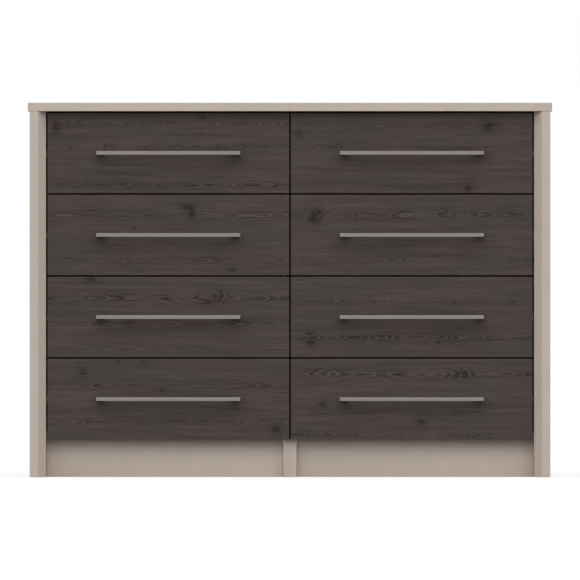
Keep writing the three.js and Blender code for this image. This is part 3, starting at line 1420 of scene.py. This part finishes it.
FOILS = {
    "left_1": PineFoil(
        "pine_left_1",
        12.0,
        (
            Knot(0.035, 0.17, 5 * MM, 0.9, 1.5),
            Knot(0.64, 0.06, 4.5 * MM, 0.8, 0.7),
            Knot(0.64, 0.25, 3 * MM, 0.5, 0.6),
            Knot(0.24, 0.41, 3.5 * MM, 0.6, 0.5),
        ),
        (
            Band(0.13, (0.275, 0.345), 36 * MM, 7 * MM, 0.7),
            Band(0.42, (), 15 * MM, 5 * MM, 0.9, 3.0, 3 * MM),
            Band(0.9, (0.37, 0.93), 30 * MM, 11 * MM),
        ),
    ),
    "right_1": PineFoil(
        "pine_right_1",
        31.0,
        (
            Knot(0.815, 0.17, 5.5 * MM, 1.0, 1.1),
            Knot(0.035, 0.27, 5 * MM, 0.6, 1.2),
            Knot(0.735, 0.94, 6 * MM, 0.8, 1.0),
            Knot(0.19, 0.42, 3.5 * MM, 0.6, 0.5),
        ),
        (
            Band(0.17, (0.82,), 90 * MM, 9 * MM, 0.6),
            Band(0.43, (), 19 * MM, 5 * MM, 0.8, 4.0, 3 * MM),
            Band(0.89, (), 9 * MM, 7 * MM, 0.8, 3.0, 3 * MM),
        ),
    ),
    "left_2": PineFoil(
        "pine_left_2",
        47.0,
        (
            Knot(0.575, 0.15, 8 * MM, 0.9, 0.5),
            Knot(0.598, 0.22, 3.5 * MM, 0.8, 2.0),
            Knot(0.765, 0.93, 5 * MM, 0.8, 0.6),
            Knot(0.36, 0.42, 2.5 * MM, 0.4),
        ),
        (
            Band(0.25, (0.57,), 62 * MM, 15 * MM, 1.0, 5.0),
            Band(0.82, (), 44 * MM, 8 * MM, 0.9, 5.0, 5 * MM),
        ),
    ),
    "right_2": PineFoil(
        "pine_right_2",
        63.0,
        (
            Knot(0.09, 0.3, 7 * MM, 0.9, 0.9),
            Knot(0.105, 0.23, 5 * MM, 0.6, 1.4),
            Knot(0.67, 0.27, 4.5 * MM, 0.5, 0.6),
            Knot(0.9, 0.06, 3 * MM, 0.4, 0.5),
        ),
        (
            Band(0.25, (0.09, 0.67), 30 * MM, 14 * MM, 1.1, 3.0, 12 * MM),
            Band(0.82, (), 17 * MM, 8 * MM, 0.8, 4.0, 4 * MM),
        ),
    ),
    "left_3": PineFoil(
        "pine_left_3",
        82.0,
        (
            Knot(0.18, 0.02, 7 * MM, 0.8, 0.8),
            Knot(0.665, 0.31, 7 * MM, 0.8, 0.5),
            Knot(0.71, 0.25, 5.5 * MM, 0.6, 1.2),
            Knot(0.335, 0.58, 5 * MM, 0.7, 0.7),
        ),
        (
            Band(0.26, (0.17, 0.69), 38 * MM, 13 * MM, 1.1, 5.0, 9 * MM),
            Band(0.58, (0.33,), 52 * MM, 8 * MM, 0.8),
            Band(0.9, (), 60 * MM, 7 * MM, 0.6, 6.0, 5 * MM),
        ),
    ),
    "right_3": PineFoil(
        "pine_right_3",
        95.0,
        (
            Knot(0.08, 0.82, 7 * MM, 0.9, 0.7),
            Knot(0.08, 0.7, 5 * MM, 0.6, 0.6),
            Knot(0.61, 0.82, 3.5 * MM, 0.6, 0.8),
        ),
        (
            Band(0.31, (), 12 * MM, 7 * MM, 0.9, 4.0, 4 * MM),
            Band(0.76, (0.29, 0.47, 0.96), 36 * MM, 12 * MM, 1.0, 5.0, 9 * MM),
        ),
    ),
    "left_4": PineFoil(
        "pine_left_4",
        118.0,
        (
            Knot(0.145, 0.17, 6 * MM, 0.9, 0.9),
            Knot(0.475, 0.39, 5 * MM, 0.6, 0.6),
            Knot(0.945, 0.88, 8 * MM, 0.8, 0.9),
            Knot(0.29, 0.03, 4 * MM, 0.6, 0.6),
            Knot(0.4, 0.03, 3.5 * MM, 0.5, 0.6),
        ),
        (
            Band(0.33, (0.47,), 75 * MM, 12 * MM, 0.7, 6.0),
            Band(0.78, (), 16 * MM, 9 * MM, 0.9, 4.0, 4 * MM),
        ),
    ),
    "right_4": PineFoil(
        "pine_right_4",
        136.0,
        (
            Knot(0.71, 0.18, 7 * MM, 0.6, 0.7),
            Knot(0.13, 0.57, 6 * MM, 0.8, 0.8),
            Knot(0.54, 0.79, 5.5 * MM, 0.8, 0.8),
            Knot(0.67, 0.66, 4 * MM, 0.5, 0.6),
        ),
        (
            Band(0.19, (0.18, 0.55), 34 * MM, 12 * MM, 1.1, 5.0, 9 * MM),
            Band(0.66, (0.02,), 90 * MM, 9 * MM, 0.6),
            Band(0.94, (), 22 * MM, 7 * MM, 0.8, 5.0, 4 * MM),
        ),
    ),
}


@dataclass
class Studio:
    """The floor, the light and the camera."""

    photo_span: float = 580 * 2.1356 * MM
    camera_height: float = 400 * MM
    camera_distance: float = 24.0
    sensor: float = 36.0
    floor_half: float = 90.0
    floor_bounce: float = 0.14
    floor_shade: float = 0.22
    floor_glow: float = 0.73
    sky_horizon: float = 1.2
    sky_peak: float = 2.32
    swell_gain: float = 27 / 4
    sky_side: float = 0.67
    sky_turn: float = 0.35
    lamp_distance: float = 9.0
    key_elevation: float = 40.0
    key_power: float = 100.0
    key_size: Point = (7.0, 5.0)
    fill_azimuth: float = 60.0
    fill_elevation: float = 30.0
    fill_power: float = 40.0
    fill_size: Point = (5.0, 5.0)

    def build(self) -> None:
        """Build the studio."""
        self.build_floor()
        self.build_sky()
        self.build_lamp("key_softbox", 0.0, self.key_elevation, self.key_size, self.key_power)
        for side in SIDES:
            azimuth = side.sign * self.fill_azimuth
            name = f"{side.name}_softbox"
            self.build_lamp(name, azimuth, self.fill_elevation, self.fill_size, self.fill_power)
        self.build_camera()

    def build_floor(self) -> None:
        """Lay a plain floor: pale to the camera, with the chest's soft shadow, and grey to the light."""
        shader = Shader.material("studio_floor")
        pale = shader.node("ShaderNodeBsdfDiffuse", values={"Color": (self.floor_shade,) * 3})
        glow = shader.node("ShaderNodeEmission", values={"Color": (1, 1, 1), "Strength": self.floor_glow})
        lit = shader.node("ShaderNodeAddShader", values={0: pale.outputs[0], 1: glow.outputs[0]})
        grey = shader.node("ShaderNodeBsdfDiffuse", values={"Color": (self.floor_bounce,) * 3})
        either = shader.node(
            "ShaderNodeMixShader",
            values={0: self.shown(shader), 1: grey.outputs[0], 2: lit.outputs[0]},
        )
        shader.node("ShaderNodeOutputMaterial", values={"Surface": either.outputs[0]})
        half = self.floor_half
        shape = bmesh.new()
        corners = ((-half, -half), (half, -half), (half, half), (-half, half))
        shape.faces.new([shape.verts.new((x, y, 0)) for x, y in corners])
        mesh = mesh_from("studio_floor", shape)
        mesh.materials.append(shader.owner)
        floor = bpy.data.objects.new("studio_floor", mesh)
        bpy.context.scene.collection.objects.link(floor)

    def build_sky(self) -> None:
        """Light the chest with a sky, brighter upwards and in front, and show plain white behind it."""
        world = bpy.data.worlds.new("studio_sky")
        bpy.context.scene.world = world
        shader = Shader(world)
        _, back, rise = shader.parts(shader.coordinates["Generated"])
        rise = rise.within(0, 1)
        swell = rise * rise * (1 - rise) * self.swell_gain
        level = self.sky_horizon + swell * (self.sky_peak - self.sky_horizon)
        level = level * (self.sky_side - back * self.sky_turn)
        white = {"Color": (1, 1, 1)}
        sky = shader.node("ShaderNodeBackground", values={**white, "Strength": level})
        plain = shader.node("ShaderNodeBackground", values={**white, "Strength": 1.0})
        shown = self.shown(shader)
        either = shader.node(
            "ShaderNodeMixShader", values={0: shown, 1: sky.outputs[0], 2: plain.outputs[0]}
        )
        shader.node("ShaderNodeOutputWorld", values={"Surface": either.outputs[0]})

    def shown(self, shader: Shader) -> Signal:
        """Tell what is seen, directly or in a mirror or glass, from what only lights.

        Args:
            shader: The shader that asks.

        Returns:
            1 where it is seen and 0 where it lights.
        """
        paths = shader.node("ShaderNodeLightPath").outputs
        seen = Signal(shader, paths["Is Camera Ray"])
        for name in ("Is Glossy Ray", "Is Transmission Ray"):
            seen = seen + Signal(shader, paths[name])
        return seen.within(0, 1)

    def build_lamp(
        self, name: str, azimuth: float, elevation: float, size: Point, power: float
    ) -> None:
        """Hang a softbox that looks at the chest.

        Args:
            name: Its name.
            azimuth: Its angle round the chest from the front, in degrees, towards +X.
            elevation: Its angle above the horizon, in degrees.
            size: Its width and height.
            power: Its power in watts.
        """
        lamp = bpy.data.lights.new(name, "AREA")
        lamp.shape = "RECTANGLE"
        lamp.size, lamp.size_y = size
        lamp.energy = power
        turn = math.radians(azimuth)
        rise = math.radians(elevation)
        away = Vector((math.sin(turn) * math.cos(rise), -math.cos(turn) * math.cos(rise), math.sin(rise)))
        target = Vector((0, 0, self.camera_height))
        softbox = bpy.data.objects.new(name, lamp)
        softbox.matrix_world = Matrix.LocRotScale(
            target + away * self.lamp_distance, (-away).to_track_quat("-Z", "Y"), None
        )
        softbox.visible_camera = False
        bpy.context.scene.collection.objects.link(softbox)

    def build_camera(self) -> None:
        """Set the camera square to the front, far away with a long lens, as the photograph has it."""
        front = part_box("top_panel")[0].y
        data = bpy.data.cameras.new("photo_camera")
        data.sensor_width = self.sensor
        data.lens = self.sensor * self.camera_distance / self.photo_span
        data.clip_end = 4 * self.camera_distance
        camera = bpy.data.objects.new("photo_camera", data)
        camera.location = (0, front - self.camera_distance, self.camera_height)
        camera.rotation_euler = (math.pi / 2, 0, 0)
        bpy.context.scene.collection.objects.link(camera)
        bpy.context.scene.camera = camera


def main() -> None:
    logging.basicConfig(level=logging.INFO, format="%(name)s: %(message)s")
    scene = bpy.context.scene
    scene.view_settings.view_transform = "Standard"
    finishes = Finishes()
    fasteners = Fasteners()
    Carcass(finishes, fasteners).build()
    rows = (1, 2, 3, 4)
    Runners(finishes, fasteners).build(rows)
    handle = BarHandle(finishes)
    for side in SIDES:
        for row in rows:
            Drawer(side, row, FOILS[f"{side.name}_{row}"], finishes, fasteners).build(handle)
    Studio().build()


if __name__ == "__main__":
    main()
